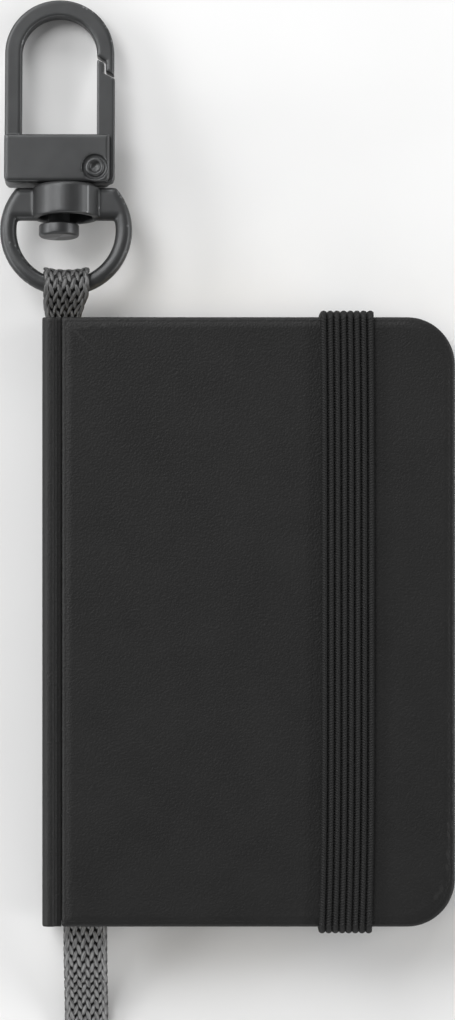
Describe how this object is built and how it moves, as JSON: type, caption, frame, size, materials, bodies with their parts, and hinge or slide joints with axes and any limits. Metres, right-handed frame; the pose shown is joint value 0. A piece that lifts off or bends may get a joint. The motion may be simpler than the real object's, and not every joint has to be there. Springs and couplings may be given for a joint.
{
  "type": "pocket notebook",
  "caption": "Pocket notebook charm: hard cover with rounded fore-edge corners, elastic closure band, braided bookmark, and a swivel snap hook on a spine loop.",
  "frame": {"origin": "centre of the back cover's outer face; the closure band's ends and the tip of the hook reach 1 mm below it, down to the table", "axes": "+Z out of the front cover, +X to the fore-edge, +Y to the head, where the clasp is"},
  "size_m": [0.0558, 0.1293, 0.012],
  "materials": {
    "leatherette": "black fine-grained leatherette, satin",
    "greyboard": "bare grey bookbinding board",
    "endpaper": "heavy ivory endpaper, matt",
    "paper": "ivory writing paper, matt, cut edges",
    "lining": "open-weave binding cloth",
    "elastic": "black ribbed woven elastic",
    "braid": "black flat-braided polyester cord",
    "gunmetal": "satin black gunmetal plating on cast zinc",
    "spring_steel": "bright spring wire"
  },
  "bodies": {
    "root": {"back_cover_skin": "leatherette", "back_board": "greyboard", "back_pastedown": "endpaper", "back_flyleaf": "endpaper", "back_signature_1": "paper", "back_signature_2": "paper", "back_signature_3": "paper", "back_signature_4": "paper", "spine_lining": "lining", "elastic_anchor_head": "elastic", "elastic_anchor_tail": "elastic", "bookmark_ribbon": "braid", "ribbon_loop": "braid"},
    "spine": {"spine_skin": "leatherette", "spine_strip": "greyboard", "back_hinge_skin": "leatherette", "front_hinge_skin": "leatherette"},
    "front_cover": {"front_cover_skin": "leatherette", "front_board": "greyboard", "front_pastedown": "endpaper"},
    "front_pages": {"front_flyleaf": "endpaper", "front_signature_1": "paper", "front_signature_2": "paper", "front_signature_3": "paper", "front_signature_4": "paper"},
    "closure_band": {"elastic_band": "elastic"},
    "ring": {"swivel_ring": "gunmetal"},
    "hook": {"hook_frame": "gunmetal", "swivel_post": "gunmetal", "gate_pin": "gunmetal", "gate_spring": "spring_steel"},
    "gate": {"gate": "gunmetal"}
  },
  "joints": [
    {"name": "spine_fold", "type": "hinge", "parent": "root", "child": "spine", "pos_m": [-0.02405, 0, 0.00035], "axis": [0, -1, 0], "range_deg": [0, 90], "deforming": ["back_hinge_skin"]},
    {"name": "cover_open", "type": "hinge", "parent": "spine", "child": "front_cover", "pos_m": [-0.02405, 0, 0.00985], "axis": [0, -1, 0], "range_deg": [0, 90], "deforming": ["front_hinge_skin"]},
    {"name": "pages_turn", "type": "hinge", "parent": "root", "child": "front_pages", "pos_m": [-0.024, 0, 0.0051], "axis": [0, -1, 0], "range_deg": [0, 180], "deforming": ["spine_lining"]},
    {"name": "band_swing", "type": "hinge", "parent": "root", "child": "closure_band", "pos_m": [0.01215, 0, -0.00005], "axis": [0, 1, 0], "range_deg": [0, 180], "deforming": ["elastic_band"]},
    {"name": "ring_swing", "type": "hinge", "parent": "root", "child": "ring", "pos_m": [-0.02245, 0.04103, 0.0051], "axis": [1, 0, 0], "range_deg": [-80, 95]},
    {"name": "hook_swivel", "type": "hinge", "parent": "ring", "child": "hook", "pos_m": [-0.02332, 0.05094, 0.00373], "axis": [0, 0.9905, -0.1374], "continuous": true},
    {"name": "gate_open", "type": "hinge", "parent": "hook", "child": "gate", "pos_m": [-0.01888, 0.05559, 0.00308], "axis": [0, 0.1374, 0.9905], "range_deg": [0, 22], "stiffness_Nm_per_rad": 0.01, "springref_deg": -17.19, "deforming": ["gate_spring"]}
  ],
  "couplings": [
    {"joint": "spine_fold", "follows": "cover_open", "ratio": 1},
    {"joint": "pages_turn", "follows": "cover_open", "ratio": 2}
  ]
}
